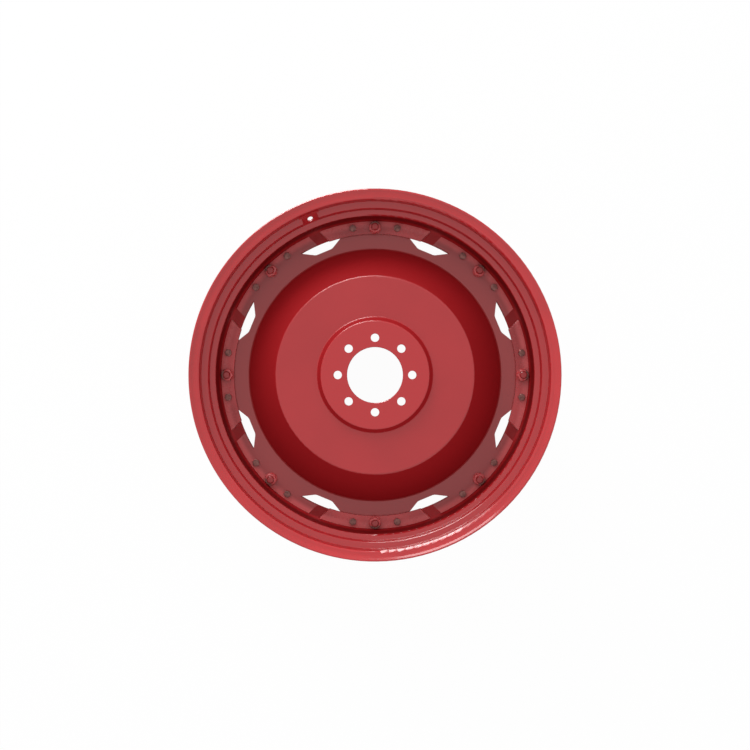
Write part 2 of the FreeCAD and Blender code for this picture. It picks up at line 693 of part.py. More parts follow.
def make_side_bolts(label, seat, turn):
    """Small bolts: head in front, end behind the nut."""
    body = fastener_body(label)
    low = "lug_back_z - side_washer_thick - side_nut - side_end"
    heads = new_sketch(body, label + "_head_outlines", "XY_Plane", seat)
    shanks = new_sketch(body, label + "_shank_outlines", "XY_Plane", low)
    for side, x in (("left", "-side_x"), ("right", "side_x")):
        hexagon(heads, side, x, "side_y", "side_corner")
        ring(shanks, side, x, "side_y", "side_bolt / 2")
    head = pad(body, label + "_heads", heads, "side_head")
    shank = pad(body, label + "_shanks", shanks, "%s - (%s)" % (seat, low))
    pattern(body, label + "_round", [head, shank], PLATES)
    return turned(body, turn)


def make_side_nuts():
    body = fastener_body("side_nuts")
    flats = new_sketch(body, "side_nut_outlines", "XY_Plane", "lug_back_z - side_washer_thick - side_nut")
    for side, x in (("left", "-side_x"), ("right", "side_x")):
        hexagon(flats, side, x, "side_y", "side_corner")
        ring(flats, side + "_thread", x, "side_y", "side_bolt / 2 + thread_play")
    nut = pad(body, "side_nut_pair", flats, "side_nut")
    pattern(body, "side_nut_round", [nut], LUGS)
    return body


def make_side_washers():
    body = fastener_body("side_washers")
    shape = new_sketch(body, "side_washer_outlines", "XY_Plane", "lug_back_z - side_washer_thick")
    for side, x in (("left", "-side_x"), ("right", "side_x")):
        ring(shape, side + "_outside", x, "side_y", "side_washer / 2")
        ring(shape, side + "_inside", x, "side_y", "side_hole_r")
    washer = pad(body, "side_washer_pair", shape, "side_washer_thick")
    pattern(body, "side_washer_round", [washer], LUGS)
    return body


def check(pieces):
    """Stop if anything failed to build."""
    for item in doc.Objects:
        if "Invalid" in item.State or "Error" in item.State:
            raise RuntimeError("%s failed: %s" % (item.Label, item.State))
    for body, solids in pieces:
        if body.Shape.isNull() or not body.Shape.isValid():
            raise RuntimeError(body.Label + " has no valid shape")
        if len(body.Shape.Solids) != solids:
            raise RuntimeError("%s: %d solids instead of %d" % (body.Label, len(body.Shape.Solids), solids))


def main():
    fill_sheet()
    pieces = [(make_rim(), 1), (make_disc(), 1)]
    for i, side in enumerate(("top", "right", "bottom", "left")):
        pieces.append((make_plate("lug_plate_" + side, i * PLATE_STEP), 1))
    for i in range(LUGS):
        pieces.append((make_lug("rim_lug_%d" % (i + 1), i * LUG_STEP), 1))
    pieces.append((make_centre_bolts("plate_centre_bolts", "plate_z", 0.0), PLATES))
    pieces.append((make_centre_bolts("tab_centre_bolts", "ring_z", LUG_STEP), PLATES))
    pieces.append((make_centre_nuts(), LUGS))
    pieces.append((make_centre_washers(), LUGS))
    pieces.append((make_side_bolts("plate_side_bolts", "plate_z", 0.0), 2 * PLATES))
    pieces.append((make_side_bolts("tab_side_bolts", "ring_z", LUG_STEP), 2 * PLATES))
    pieces.append((make_side_nuts(), 2 * LUGS))
    pieces.append((make_side_washers(), 2 * LUGS))
    doc.recompute()
    check(pieces)
    os.makedirs("parts", exist_ok=True)
    for body, _ in pieces:
        body.Shape.exportStep("parts/%s.step" % body.Label)
        print("%-20s %8.1f cm3" % (body.Label, body.Shape.Volume / 1000.0))


main()
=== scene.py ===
import math

import bmesh
import bpy
from bpy.props import FloatProperty, FloatVectorProperty, PointerProperty
from mathutils import Matrix, Vector


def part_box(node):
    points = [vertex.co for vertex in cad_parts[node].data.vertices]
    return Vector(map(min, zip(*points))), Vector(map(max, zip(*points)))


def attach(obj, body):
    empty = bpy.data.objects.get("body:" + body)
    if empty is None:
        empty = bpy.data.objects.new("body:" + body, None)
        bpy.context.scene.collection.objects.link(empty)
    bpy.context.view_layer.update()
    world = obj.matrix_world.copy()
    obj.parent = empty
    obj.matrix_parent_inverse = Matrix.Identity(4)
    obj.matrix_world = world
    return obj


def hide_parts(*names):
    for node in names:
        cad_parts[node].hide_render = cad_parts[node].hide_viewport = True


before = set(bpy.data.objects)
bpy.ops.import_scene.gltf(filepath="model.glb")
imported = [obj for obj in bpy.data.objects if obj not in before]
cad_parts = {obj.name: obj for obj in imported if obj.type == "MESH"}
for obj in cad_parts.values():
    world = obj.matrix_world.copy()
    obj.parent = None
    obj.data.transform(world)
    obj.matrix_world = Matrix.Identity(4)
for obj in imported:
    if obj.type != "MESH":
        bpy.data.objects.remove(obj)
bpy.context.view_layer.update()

bl_info = {
    "name": "Bolted Tractor Wheel",
    "version": (1, 0, 0),
    "blender": (4, 5, 0),
    "location": "3D View > Sidebar > Wheel",
    "description": "Gloss red wheel with plated bolts, weld beads and a plain white studio",
    "category": "Object",
}

RIM_LOW, RIM_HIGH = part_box("rim")
FLANGE_HEIGHT = 0.0284
HEEL = RIM_HIGH.x - FLANGE_HEIGHT
DISC_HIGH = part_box("disc")[1]
PAD_STEP = 0.017
FACE = DISC_HIGH.z - PAD_STEP
LUGS = 8
PLATES = 4
LUG_STEP = math.radians(45.0)
PLATE_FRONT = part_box("lug_plate_top")[1].z
RING_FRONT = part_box("centre_washers")[0].z
LUG_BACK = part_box("side_washers")[1].z
LUG_LOW, LUG_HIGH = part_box("rim_lug_1")
LUG_GAP = 0.0003
WELL = LUG_HIGH.y + LUG_GAP
AXIS = Vector((0.0, 0.0, 1.0))
CENTRE = Vector((0.0, 0.0, 0.0))

# Gloss and grain of the finishes; pairs run from clean to stained, or from painted to bare
PAINT_IOR = 1.56
DRY_PAINT = 0.75
DRY_SHINE = 0.05
HAZE = 0.06
RING_RISE = 0.8
GRAIN_DEPTH = 0.00002
ZINC_ROUGH = (0.34, 0.58)
ZINC_METAL = (0.95, 0.35)
WORN_ROUGH = (0.30, 0.45)
WORN_METAL = (0.0, 0.8)

# Where one shade of paint gives way to the next, painted shade and painted reflection among them, in metres
# along the radius or the axis
FLANGE_EDGE = (HEEL - 0.001, HEEL + 0.003)
WELL_EDGE = (WELL + 0.0005, WELL + 0.003)
# Heights over which the painted shade in the well fades in
WELL_FADE = (RING_FRONT + 0.007, RING_FRONT + 0.057)
FACE_EDGE = (0.0008, 0.004)
PAD_EDGE = (DISC_HIGH.z - 0.003, DISC_HIGH.z - 0.0006)
RING_EDGE = (RING_FRONT + 0.001, RING_FRONT + 0.006)
# Band of painted reflection at the outer edge of the disc and plates
SHEEN_EDGE = (WELL - 0.024, WELL - 0.007)
WEAR_EDGE = (0.004, 0.010)

# Facets and tolerances of the modelled pieces
ROUND = 48
SHANK_ROUND = 32
THREAD_ROUND = 28
BEAD_FACETS = 5
RIPPLE_FACETS = 6.0
SHARP = math.radians(28.0)
MERGE = 1e-6

# Nuts and heads: end face, turned blank and slack as shares of the width across flats
HEX = math.radians(60.0)
HEX_CHAMFER = math.radians(30.0)
END_FACE = 0.95
PAST_END_FACE = 1.02
BLANK = 0.55
HEAD_SLACK = 0.05
NUT_BORE = 1.005
COUNTERSINK = 0.06
WASHER_EDGE = 0.18

# Threads, as shares of the pitch
THREAD_DEPTH = 0.54
THREAD_FOOT = 0.12
THREAD_RISE = 0.5
THREAD_TOP = 0.62
THREAD_LEAD = 1.5
TIP_CHAMFER = 0.8

# How far a shank runs into its head or its threads into the nut, and the play in a washer, in metres
HEAD_OVERLAP = 0.001
LARGE_NUT_OVERLAP = 0.004
SMALL_NUT_OVERLAP = 0.003
LARGE_PLAY = 0.001
SMALL_PLAY = 0.00075

# Thickness of a weld bead at its ends, as a share of its middle
BEAD_END = 0.45

# Studio
SENSOR = 36.0
FAR_CLIP = 100.0
FLOOR_WHITE = (0.9, 0.9, 0.9, 1.0)
FULL_WHITE = (1.0, 1.0, 1.0, 1.0)
FOOTPRINT_FADE = 1.1
GRID = (220.0, -200.0)


class WheelPaintSettings(bpy.types.PropertyGroup):
    """Colours and texture of the sprayed paint."""

    red: FloatVectorProperty(
        name="Red", description="Colour of the gloss paint", subtype="COLOR", size=3,
        min=0.0, max=1.0, default=(0.460, 0.0138, 0.0184))
    face_red: FloatVectorProperty(
        name="Face red", description="Colour of the paint on the disc's broad face", subtype="COLOR",
        size=3, min=0.0, max=1.0, default=(0.425, 0.0128, 0.0170))
    deep_red: FloatVectorProperty(
        name="Deep red", description="Colour of the slightly darker patches", subtype="COLOR", size=3,
        min=0.0, max=1.0, default=(0.390, 0.0108, 0.0146))
    # Painted shade: darker red on the disc's step wall and down in the dish; on the plates and lugs the same
    # colour gives the darker patches
    shade_and_patch_red: FloatVectorProperty(
        name="Recess red", description="Colour of the duller paint down in the dish", subtype="COLOR",
        size=3, min=0.0, max=1.0, default=(0.325, 0.0095, 0.0127))
    # Painted shade and painted reflection: darker red with a pale cast on the disc's flat ring, for the
    # shade of the dish and the white dome seen in its gloss
    ring_shade_sheen_red: FloatVectorProperty(
        name="Ring red", description="Colour of the dusty paint on the disc's flat ring", subtype="COLOR",
        size=3, min=0.0, max=1.0, default=(0.330, 0.0250, 0.0270))
    # Painted light: a lighter red on the flanges for the light they catch
    flange_lit_red: FloatVectorProperty(
        name="Flange red", description="Colour of the thick paint on the flanges", subtype="COLOR", size=3,
        min=0.0, max=1.0, default=(0.540, 0.0160, 0.0218))
    # Painted shade: a darker red on the rim's steps inside the flanges
    step_shade_red: FloatVectorProperty(
        name="Drop red", description="Colour of the thinner paint on the rim's steps", subtype="COLOR",
        size=3, min=0.0, max=1.0, default=(0.400, 0.0120, 0.0160))
    well_shade_red: FloatVectorProperty(
        name="Well red", description="Colour of the dark paint deep in the rim's front", subtype="COLOR",
        size=3, min=0.0, max=1.0, default=(0.170, 0.0040, 0.0050))
    plate_red: FloatVectorProperty(
        name="Plate red", description="Colour of the clamp plates and lugs", subtype="COLOR", size=3,
        min=0.0, max=1.0, default=(0.525, 0.0380, 0.0430))
    # Painted reflection: a pale red at the outer edge of the disc and plates, where they meet the rim; on
    # the nuts the same colour is mixed in by the stain patches
    dust_and_sheen: FloatVectorProperty(
        name="Dust", description="Colour of the dusty paint where the disc meets the rim", subtype="COLOR",
        size=3, min=0.0, max=1.0, default=(0.640, 0.1200, 0.1250))
    bolt_red: FloatVectorProperty(
        name="Bolt red", description="Colour of the thin paint on the large bolts", subtype="COLOR", size=3,
        min=0.0, max=1.0, default=(0.330, 0.0200, 0.0220))
    patch: FloatProperty(
        name="Patch size", description="Size of the patches in the paint's shade", unit="LENGTH",
        min=0.01, default=0.22)
    peel: FloatProperty(
        name="Orange peel", description="Size of the ripple that spraying leaves", unit="LENGTH",
        min=0.0005, default=0.0035)
    peel_depth: FloatProperty(
        name="Peel depth", description="Depth of the spray ripple", unit="LENGTH",
        min=0.0, default=0.00003)
    roll_depth: FloatProperty(
        name="Roll mark depth", description="Depth of the marks left by rolling and pressing", unit="LENGTH",
        min=0.0, default=0.00006)


class WheelFastenerSettings(bpy.types.PropertyGroup):
    """Sizes and colours of the bolts, nuts and washers."""

    large_bolt: FloatProperty(
        name="Large bolt", description="Diameter of the large bolts", unit="LENGTH",
        min=0.001, default=0.020)
    large_flats: FloatProperty(
        name="Large flats", description="Across flats of the large nuts and heads", unit="LENGTH",
        min=0.001, default=0.030)
    large_head: FloatProperty(
        name="Large head", description="Height of the large heads", unit="LENGTH", min=0.001, default=0.0125)
    large_nut: FloatProperty(
        name="Large nut", description="Height of the large nuts", unit="LENGTH", min=0.001, default=0.016)
    large_washer: FloatProperty(
        name="Large washer", description="Diameter of the large washers", unit="LENGTH",
        min=0.001, default=0.036)
    large_washer_thick: FloatProperty(
        name="Large washer thickness", description="Thickness of the large washers", unit="LENGTH",
        min=0.0005, default=0.003)
    large_end: FloatProperty(
        name="Large bolt end", description="Length of large bolt past its nut", unit="LENGTH",
        min=0.0, default=0.005)
    large_pitch: FloatProperty(
        name="Large pitch", description="Thread pitch of the large bolts", unit="LENGTH",
        min=0.0005, default=0.0025)
    small_bolt: FloatProperty(
        name="Small bolt", description="Diameter of the small bolts", unit="LENGTH",
        min=0.001, default=0.012)
    small_flats: FloatProperty(
        name="Small flats", description="Across flats of the small nuts and heads", unit="LENGTH",
        min=0.001, default=0.018)
    small_head: FloatProperty(
        name="Small head", description="Height of the small heads", unit="LENGTH", min=0.001, default=0.0075)
    small_nut: FloatProperty(
        name="Small nut", description="Height of the small nuts", unit="LENGTH", min=0.001, default=0.010)
    small_washer: FloatProperty(
        name="Small washer", description="Diameter of the small washers", unit="LENGTH",
        min=0.001, default=0.024)
    small_washer_thick: FloatProperty(
        name="Small washer thickness", description="Thickness of the small washers", unit="LENGTH",
        min=0.0005, default=0.0025)
    small_end: FloatProperty(
        name="Small bolt end", description="Length of small bolt past its nut", unit="LENGTH",
        min=0.0, default=0.004)
    small_pitch: FloatProperty(
        name="Small pitch", description="Thread pitch of the small bolts", unit="LENGTH",
        min=0.0005, default=0.00175)
    small_spread: FloatProperty(
        name="Small bolt spread", description="Angle from a lug's axis to a small bolt", subtype="ANGLE",
        default=math.radians(8.6))
    zinc: FloatVectorProperty(
        name="Zinc", description="Colour of the dull plating", subtype="COLOR", size=3,
        min=0.0, max=1.0, default=(0.260, 0.112, 0.100))
    stain: FloatVectorProperty(
        name="Stain", description="Colour of the stains on the plating", subtype="COLOR", size=3,
        min=0.0, max=1.0, default=(0.150, 0.058, 0.051))


class WheelWeldSettings(bpy.types.PropertyGroup):
    """Sizes of the weld beads behind the disc."""

    leg: FloatProperty(
        name="Leg", description="Leg length of a weld bead", unit="LENGTH", min=0.001, default=0.0044)
    ripple: FloatProperty(
        name="Ripple", description="Distance between the ripples of a bead", unit="LENGTH",
        min=0.001, default=0.0036)
    ripple_depth: FloatProperty(
        name="Ripple depth", description="Depth of the ripples, as a share of the leg", subtype="FACTOR",
        min=0.0, max=0.5, default=0.14)
    rib_spread: FloatProperty(
        name="Rib spread", description="Lug axis to the middle of a rib", unit="LENGTH",
        min=0.005, default=0.035)
    rib_thick: FloatProperty(
        name="Rib thickness", description="Thickness of a rib", unit="LENGTH", min=0.001, default=0.010)


class WheelStageSettings(bpy.types.PropertyGroup):
    """Camera, light and floor."""

    camera_distance: FloatProperty(
        name="Camera distance", description="Camera to the front flange", unit="LENGTH",
        min=0.5, default=2.5)
    lens: FloatProperty(
        name="Lens", description="Focal length on a 36 mm sensor", unit="CAMERA",
        min=10.0, default=44.14)
    dome: FloatProperty(
        name="Dome light", description="Light of the white dome on matt surfaces", min=0.0, default=0.75)
    key_power: FloatProperty(
        name="Key power", description="Power of the soft lamp at the upper left", unit="POWER",
        min=0.0, default=185.0)
    key_size: FloatProperty(
        name="Key size", description="Side of the soft lamp", unit="LENGTH", min=0.05, default=3.2)
    key_distance: FloatProperty(
        name="Key distance", description="Soft lamp to the hub", unit="LENGTH", min=0.5, default=6.0)
    key_turn: FloatProperty(
        name="Key turn", description="Turn of the soft lamp from the wheel's top to the left",
        subtype="ANGLE", default=math.radians(24.0))
    key_rise: FloatProperty(
        name="Key rise", description="Angle of the soft lamp above the wheel's face", subtype="ANGLE",
        default=math.radians(17.0))
    fill_power: FloatProperty(
        name="Fill power", description="Power of the soft lamp above the wheel's face", unit="POWER",
        min=0.0, default=46.0)
    fill_rise: FloatProperty(
        name="Fill rise", description="Angle of the fill lamp above the wheel's face", subtype="ANGLE",
        default=math.radians(50.0))
    glint_power: FloatProperty(
        name="Glint power", description="Power of the lamp that shows on rounded edges only", unit="POWER",
        min=0.0, default=430.0)
    glint_size: FloatProperty(
        name="Glint size", description="Side of the lamp that shows on edges", unit="LENGTH",
        min=0.05, default=3.4)
    glint_turn: FloatProperty(
        name="Glint turn", description="Turn of the edge lamp from the wheel's top to the left",
        subtype="ANGLE", default=math.radians(15.0))
    glint_rise: FloatProperty(
        name="Glint rise", description="Angle of the edge lamp above the wheel's face", subtype="ANGLE",
        default=math.radians(8.0))
    floor_half: FloatProperty(
        name="Floor", description="Half side of the floor", unit="LENGTH", min=1.0, default=9.0)
    # Also the strength of the floor's hidden glow beneath the wheel
    glow: FloatProperty(
        name="Backdrop share", description="Share of plain white in what the camera sees of the floor",
        subtype="FACTOR", min=0.0, max=1.0, default=0.97)
    footprint: FloatProperty(
        name="Footprint", description="Radius of floor that stays dim in reflections", unit="LENGTH",
        min=0.01, default=0.56)


# Node trees


def node(tree, kind, column, row, **values):
    """New node on a grid, with values for its sockets."""
    made = tree.nodes.new(kind)
    made.location = (column * GRID[0], row * GRID[1])
    for name, value in values.items():
        made.inputs[name].default_value = value
    return made


def maths(tree, operation, column, row, *feeds):
    """Math node fed by sockets or numbers; returns its output."""
    made = node(tree, "ShaderNodeMath", column, row)
    made.operation = operation
    for socket, feed in zip(made.inputs, feeds):
        if isinstance(feed, (int, float)):
            socket.default_value = feed
        else:
            tree.links.new(feed, socket)
    return made.outputs[0]


def new_group(name, inputs, outputs):
    """Empty shader node group with float sockets (name, default)."""
    group = bpy.data.node_groups.new(name, "ShaderNodeTree")
    for label, default in inputs:
        socket = group.interface.new_socket(label, in_out="INPUT", socket_type="NodeSocketFloat")
        socket.default_value = default
    for label in outputs:
        group.interface.new_socket(label, in_out="OUTPUT", socket_type="NodeSocketFloat")
    return group, node(group, "NodeGroupInput", -4, 0), node(group, "NodeGroupOutput", 4, 0)


def noise_mask(tree, vector, scale, row, detail, low, high):
    """Noise stretched between two levels to a mask from 0 to 1."""
    noise = node(tree, "ShaderNodeTexNoise", -1, row, Detail=detail)
    spread = node(tree, "ShaderNodeMapRange", 1, row, **{"From Min": low, "From Max": high})
    spread.interpolation_type = "SMOOTHSTEP"
    tree.links.new(vector, noise.inputs["Vector"])
    tree.links.new(scale, noise.inputs["Scale"])
    tree.links.new(noise.outputs["Fac"], spread.inputs["Value"])
    return spread.outputs["Result"]


def sprayed_group():
    """Sprayed paint: slow shade patches, fine haze in the gloss, and orange peel."""
    group, into, out = new_group(
        "Sprayed Paint",
        (("Patch Scale", 4.5), ("Haze Scale", 60.0), ("Peel Scale", 290.0)),
        ("Patches", "Haze", "Peel"))
    place = node(group, "ShaderNodeTexCoord", -3, 1).outputs["Object"]
    patches = noise_mask(group, place, into.outputs["Patch Scale"], 0, detail=3.0, low=0.32, high=0.68)
    haze = noise_mask(group, place, into.outputs["Haze Scale"], 1, detail=4.0, low=0.25, high=0.75)
    peel = noise_mask(group, place, into.outputs["Peel Scale"], 2, detail=1.0, low=0.2, high=0.8)
    group.links.new(patches, out.inputs["Patches"])
    group.links.new(haze, out.inputs["Haze"])
    group.links.new(peel, out.inputs["Peel"])
    return group


def rolled_group():
    """Marks of rolling and pressing: faint rings round the wheel's axis."""
    group, into, out = new_group("Rolled Rings", (("Ring Scale", 220.0),), ("Rings", "Radius", "Height"))
    place = node(group, "ShaderNodeTexCoord", -3, 1).outputs["Object"]
    parts = node(group, "ShaderNodeSeparateXYZ", -3, 2)
    group.links.new(place, parts.inputs[0])
    across = maths(group, "POWER", -2, 1, parts.outputs["X"], 2.0)
    along = maths(group, "POWER", -2, 2, parts.outputs["Y"], 2.0)
    radius = maths(group, "SQRT", -1, 1, maths(group, "ADD", -2, 3, across, along))
    rise = maths(group, "MULTIPLY", -1, 3, parts.outputs["Z"], RING_RISE)
    path = maths(group, "ADD", 0, 1, radius, rise)
    rings = node(group, "ShaderNodeTexNoise", 1, 1, Detail=2.0)
    rings.noise_dimensions = "1D"
    group.links.new(path, rings.inputs["W"])
    group.links.new(into.outputs["Ring Scale"], rings.inputs["Scale"])
    group.links.new(rings.outputs["Fac"], out.inputs["Rings"])
    group.links.new(radius, out.inputs["Radius"])
    group.links.new(parts.outputs["Z"], out.inputs["Height"])
    return group


def stained_group():
    """Dull plating: cloudy stains and a fine grain."""
    group, into, out = new_group(
        "Dull Plating", (("Stain Scale", 160.0), ("Grain Scale", 1800.0)), ("Stains", "Grain"))
    place = node(group, "ShaderNodeTexCoord", -3, 1).outputs["Object"]
    stains = noise_mask(group, place, into.outputs["Stain Scale"], 0, detail=5.0, low=0.42, high=0.72)
    grain = noise_mask(group, place, into.outputs["Grain Scale"], 1, detail=2.0, low=0.2, high=0.8)
    group.links.new(stains, out.inputs["Stains"])
    group.links.new(grain, out.inputs["Grain"])
    return group


def group_node(tree, group, column, row, **values):
    """Node group on the grid, with values for its inputs."""
    made = node(tree, "ShaderNodeGroup", column, row)
    made.node_tree = group
    for name, value in values.items():
        made.inputs[name.replace("_", " ")].default_value = value
    return made


def colour_mix(tree, factor, first, second, column, row):
    """Two colours, plain or fed, blended by a mask."""
    made = node(tree, "ShaderNodeMix", column, row)
    made.data_type = "RGBA"
    sockets = [s for s in made.inputs if s.type == "RGBA"]
    for socket, feed in zip(sockets, (first, second)):
        if isinstance(feed, bpy.types.NodeSocket):
            tree.links.new(feed, socket)
        else:
            socket.default_value = (*feed, 1.0)
    tree.links.new(factor, made.inputs["Factor"])
    return next(s for s in made.outputs if s.type == "RGBA")


def emptied_tree(owner):
    """Node tree of a material or world, with nothing in it."""
    owner.use_nodes = True
    owner.node_tree.nodes.clear()
    return owner.node_tree


def new_material(name):
    """New material with a Principled shader and its output; returns its tree and the shader."""
    tree = emptied_tree(bpy.data.materials.new(name))
    shader = node(tree, "ShaderNodeBsdfPrincipled", 3, 0)
    output = node(tree, "ShaderNodeOutputMaterial", 5, 0)
    tree.links.new(shader.outputs["BSDF"], output.inputs["Surface"])
    return tree, shader


def ranged(tree, value, low, high, column, row):
    """A 0 to 1 mask spread between two numbers."""
    made = node(tree, "ShaderNodeMapRange", column, row, **{"To Min": low, "To Max": high})
    tree.links.new(value, made.inputs["Value"])
    return made.outputs["Result"]


def stepped(tree, value, low, high, column, row):
    """A smooth mask that rises from 0 to 1 between two values."""
    made = node(tree, "ShaderNodeMapRange", column, row, **{"From Min": low, "From Max": high})
    made.interpolation_type = "SMOOTHSTEP"
    tree.links.new(value, made.inputs["Value"])
    return made.outputs["Result"]


def bumped(tree, shader, *heights):
    """Chain of Bump nodes (height, depth in metres) into the shader's normal."""
    last = None
    for i, (height, depth) in enumerate(heights):
        bump = node(tree, "ShaderNodeBump", 1, 2 + i, Strength=1.0, Distance=depth)
        tree.links.new(height, bump.inputs["Height"])
        if last:
            tree.links.new(last, bump.inputs["Normal"])
        last = bump.outputs["Normal"]
    tree.links.new(last, shader.inputs["Normal"])


def coated(tree, shader, shine, gloss):
    """Gloss as a clear coat over dry paint, as strong as a mask says."""
    tree.links.new(shine, shader.inputs["Coat Weight"])
    shader.inputs["Coat Roughness"].default_value = gloss
    shader.inputs["Coat IOR"].default_value = PAINT_IOR
    shader.inputs["Specular IOR Level"].default_value = DRY_SHINE


def rim_shades(tree, paint, rings, colour):
    """Darker red on the rim's steps as painted shade, no gloss in the well, and painted shade in the well,
    darkest just behind the steps.
    """
    radius = rings.outputs["Radius"]
    flange = stepped(tree, radius, *FLANGE_EDGE, -1, 4)
    steps = stepped(tree, radius, *WELL_EDGE, -1, 5)
    front = stepped(tree, rings.outputs["Height"], *WELL_FADE, -1, 6)
    # Painted light and shade: lighter red on the flanges, darker red on the steps
    colour = colour_mix(tree, flange, paint.step_shade_red, colour, 1, 4)
    # Painted shade: the well goes from plain red at the ring's level to dark red just behind the steps
    well = colour_mix(tree, front, paint.red, paint.well_shade_red, 0, 5)
    return colour_mix(tree, steps, well, colour, 2, 5), steps


def disc_shades(tree, paint, rings, colour):
    """Painted shade on the step wall and down in the dish, painted shade with a pale painted reflection on
    the ring, and no gloss on the two walls.
    """
    height = rings.outputs["Height"]
    off_face = maths(tree, "ABSOLUTE", -1, 5, maths(tree, "SUBTRACT", -2, 5, height, FACE))
    below = stepped(tree, off_face, *FACE_EDGE, 0, 5)
    pad = stepped(tree, height, *PAD_EDGE, -1, 6)
    shade = maths(tree, "SUBTRACT", 1, 5, below, pad)
    colour = colour_mix(tree, pad, colour, paint.red, 1, 6)
    above = stepped(tree, height, *RING_EDGE, -1, 8)
    # Painted shade down in the dish and on the step wall, with a pale painted reflection on the ring
    low = colour_mix(tree, above, paint.ring_shade_sheen_red, paint.shade_and_patch_red, 1, 8)
    walls = maths(tree, "MULTIPLY", 1, 7, shade, above)
    return colour_mix(tree, shade, colour, low, 2, 5), ranged(tree, walls, 1.0, 0.0, 2, 7)


def edge_sheen(tree, paint, rings, colour):
    """Painted reflection on the outer edge of the disc and its plates, a pale red where they meet the rim.
    """
    outer = stepped(tree, rings.outputs["Radius"], *SHEEN_EDGE, -1, 9)
    return colour_mix(tree, outer, colour, paint.dust_and_sheen, 2, 9)


def gloss_paint(name, sprayed, rolled, light, dark, ring_scale, gloss):
    """Gloss paint on rolled or pressed steel."""
    paint = bpy.context.scene.wheel_paint
    tree, shader = new_material(name)
    spray = group_node(tree, sprayed, -3, 0, Patch_Scale=1.0 / paint.patch, Peel_Scale=1.0 / paint.peel)
    rings = group_node(tree, rolled, -3, 2, Ring_Scale=ring_scale)
    colour = colour_mix(tree, spray.outputs["Patches"], light, dark, 0, 0)
    dullest = gloss + HAZE
    if name in {"Rim paint", "Disc paint"}:
        shades = rim_shades if name == "Rim paint" else disc_shades
        colour, shine = shades(tree, paint, rings, colour)
        coated(tree, shader, shine, gloss)
        dullest = DRY_PAINT
    rough = ranged(tree, spray.outputs["Haze"], dullest - HAZE, dullest, 0, 1)
    # Painted reflection at the outer edge of the disc and plates
    if name in {"Disc paint", "Lug paint"}:
        colour = edge_sheen(tree, paint, rings, colour)
    tree.links.new(colour, shader.inputs["Base Color"])
    tree.links.new(rough, shader.inputs["Roughness"])
    shader.inputs["IOR"].default_value = PAINT_IOR
    bumped(
        tree, shader,
        (spray.outputs["Peel"], paint.peel_depth), (rings.outputs["Rings"], paint.roll_depth))


def dull_zinc(name, stained):
    """Dull zinc plating with brownish stains."""
    fasteners = bpy.context.scene.wheel_fasteners
    tree, shader = new_material(name)
    plating = group_node(tree, stained, -3, 0)
    tree.links.new(
        colour_mix(tree, plating.outputs["Stains"], fasteners.zinc, fasteners.stain, 0, 0),
        shader.inputs["Base Color"])
    tree.links.new(
        ranged(tree, plating.outputs["Stains"], *ZINC_ROUGH, 0, 1), shader.inputs["Roughness"])
    tree.links.new(
        ranged(tree, plating.outputs["Stains"], *ZINC_METAL, 0, 2), shader.inputs["Metallic"])
    bumped(tree, shader, (plating.outputs["Grain"], GRAIN_DEPTH))


def worn_paint(name, stained, rolled):
    """Red paint on the nuts, worn off to dull plating on the side away from the hub."""
    paint = bpy.context.scene.wheel_paint
    fasteners = bpy.context.scene.wheel_fasteners
    tree, shader = new_material(name)
    plating = group_node(tree, stained, -3, 0)
    rings = group_node(tree, rolled, -3, 2)
    wear = [bolt_circle() + past for past in WEAR_EDGE]
    bare = stepped(tree, rings.outputs["Radius"], *wear, -1, 2)
    metal = colour_mix(tree, plating.outputs["Stains"], fasteners.zinc, fasteners.stain, 0, 0)
    colour = colour_mix(tree, plating.outputs["Stains"], paint.plate_red, paint.dust_and_sheen, 0, 3)
    tree.links.new(colour_mix(tree, bare, colour, metal, 2, 0), shader.inputs["Base Color"])
    tree.links.new(ranged(tree, bare, *WORN_ROUGH, 0, 1), shader.inputs["Roughness"])
    tree.links.new(ranged(tree, bare, *WORN_METAL, 0, 2), shader.inputs["Metallic"])
    bumped(tree, shader, (plating.outputs["Grain"], GRAIN_DEPTH))


def finish_of(name):
    """Finish by its name, made with all the others on first use."""
    if name not in bpy.data.materials:
        paint = bpy.context.scene.wheel_paint
        sprayed = sprayed_group()
        rolled = rolled_group()
        # Name, colour, colour of the patches, scale of the rolled rings and roughness of the gloss
        for title, light, dark, ring_scale, gloss in (
                ("Rim paint", paint.flange_lit_red, paint.red, 240.0, 0.14),
                ("Disc paint", paint.face_red, paint.deep_red, 160.0, 0.28),
                ("Lug paint", paint.plate_red, paint.shade_and_patch_red, 90.0, 0.25),
                ("Bolt paint", paint.bolt_red, paint.deep_red, 400.0, 0.30)):
            gloss_paint(title, sprayed, rolled, light, dark, ring_scale, gloss)
        stained = stained_group()
        dull_zinc("Dull zinc", stained)
        worn_paint("Worn paint", stained, rolled)
    return bpy.data.materials[name]


def finish_nodes(finish, *names):
    """Give CAD nodes their finish, with shading that follows their broad faces."""
    for name in names:
        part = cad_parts[name]
        part.data.materials.clear()
        part.data.materials.append(finish_of(finish))
        part.modifiers.new("Even shading", "WEIGHTED_NORMAL")


# Mesh pieces


def placed(name, data):
    """New object in the scene."""
    made = bpy.data.objects.new(name, data)
    bpy.context.scene.collection.objects.link(made)
    return made


def new_piece(name, bm, finish, slot, *stands_for):
    """Object at the origin from a finished bmesh, riding on the wheel."""
    bmesh.ops.remove_doubles(bm, verts=bm.verts, dist=MERGE)
    bmesh.ops.recalc_face_normals(bm, faces=bm.faces)
    if not bm.faces:
        raise RuntimeError(name + " has no faces")
    mesh = bpy.data.meshes.new(name)
    bm.to_mesh(mesh)
    bm.free()
    mesh.materials.append(finish_of(finish))
    mesh.shade_smooth()
    mesh.set_sharp_from_angle(angle=SHARP)
    piece = placed(name, mesh)
    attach(piece, "root")
    if stands_for:
        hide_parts(*stands_for)


